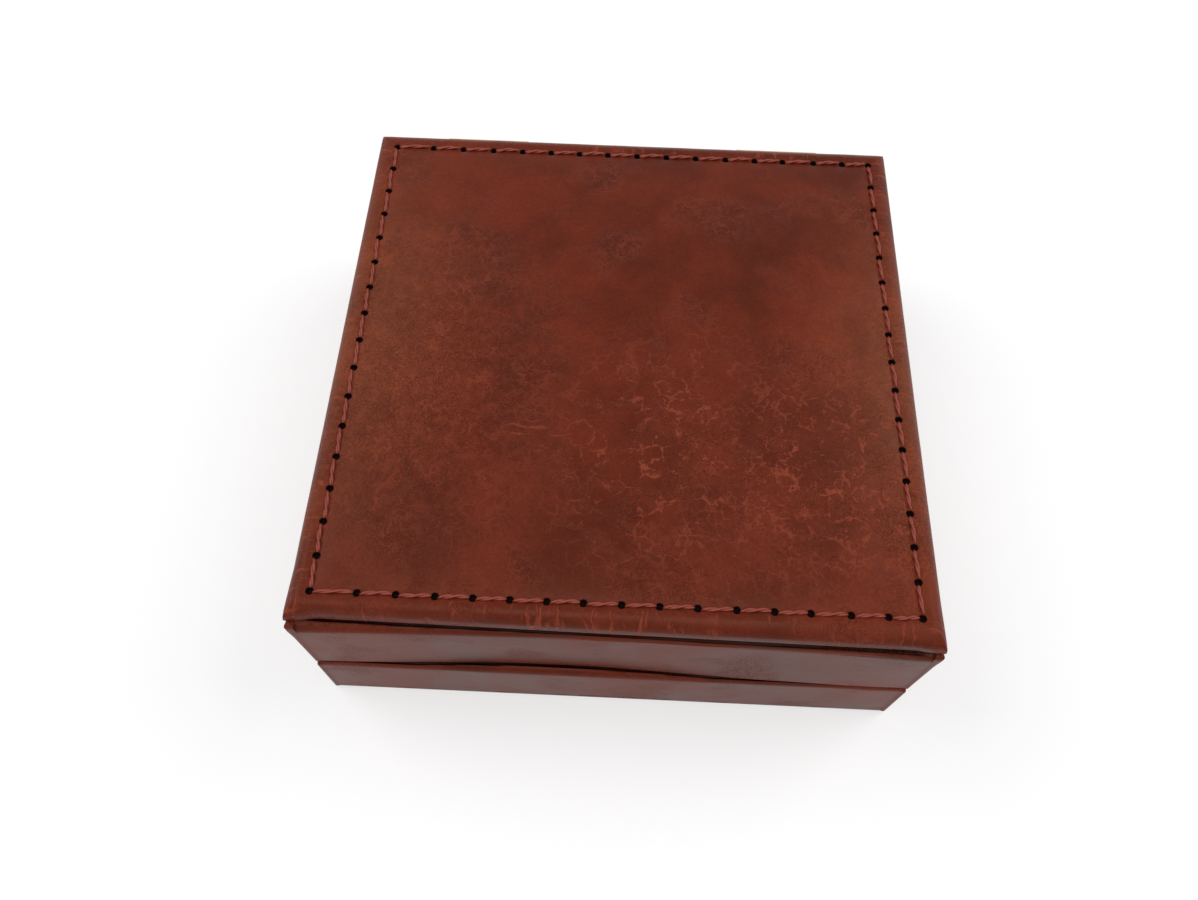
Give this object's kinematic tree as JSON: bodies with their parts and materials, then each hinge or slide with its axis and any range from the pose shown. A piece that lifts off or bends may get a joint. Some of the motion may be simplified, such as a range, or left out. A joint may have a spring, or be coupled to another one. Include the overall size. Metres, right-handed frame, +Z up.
{
  "type": "cufflink box",
  "caption": "Low square leather-covered cufflink box: thin padded lid with a stitched border on small butt hinges, cushion rolls inside, full-width drawer in the base.",
  "frame": {"origin": "middle of the footprint, on the surface the box stands on", "axes": "+X to the right, +Y to the back where the hinges are, +Z up; the drawer front faces -Y"},
  "size_m": [0.1, 0.1035, 0.0372],
  "materials": {
    "leather": "semi-gloss reddish-brown, fine wrinkles",
    "thread": "waxed twisted thread",
    "velvet": "short dark brown pile",
    "felt": "dull dark felt",
    "foam": "thin sheet foam",
    "board": "raw fibreboard",
    "brass": "brushed brass",
    "magnet": "plated"
  },
  "bodies": {
    "case": {"base_pad": "felt", "bottom_board": "board", "side_wall_left": "board", "side_wall_right": "board", "front_rail": "board", "back_wall": "board", "compartment_floor": "board", "case_cover": "leather", "compartment_lining": "velvet", "cushion_roll_1": "velvet", "cushion_roll_2": "velvet", "cushion_roll_3": "velvet", "cushion_roll_4": "velvet", "rail_magnets": "magnet", "hinge_leaf_case_left": "brass", "hinge_leaf_case_right": "brass", "hinge_pin_left": "brass", "hinge_pin_right": "brass", "hinge_nails_case": "brass"},
    "lid": {"lid_board": "board", "lid_foam": "foam", "lid_cover": "leather", "lid_thread": "thread", "lid_lining": "velvet", "lid_magnets": "magnet", "hinge_leaf_lid_left": "brass", "hinge_leaf_lid_right": "brass", "hinge_nails_lid": "brass"},
    "drawer": {"drawer_front_board": "board", "drawer_front_cover": "leather", "drawer_side_left": "board", "drawer_side_right": "board", "drawer_back": "board", "drawer_bottom": "board", "drawer_lining": "velvet"}
  },
  "joints": [
    {"name": "lid_hinge", "type": "hinge", "parent": "case", "child": "lid", "pos_m": [0, 0.05065, 0.0332], "axis": [-1, 0, 0], "range_deg": [0, 100]},
    {"name": "drawer_slide", "type": "slide", "parent": "case", "child": "drawer", "axis": [0, -1, 0], "range_m": [0, 0.062]}
  ]
}
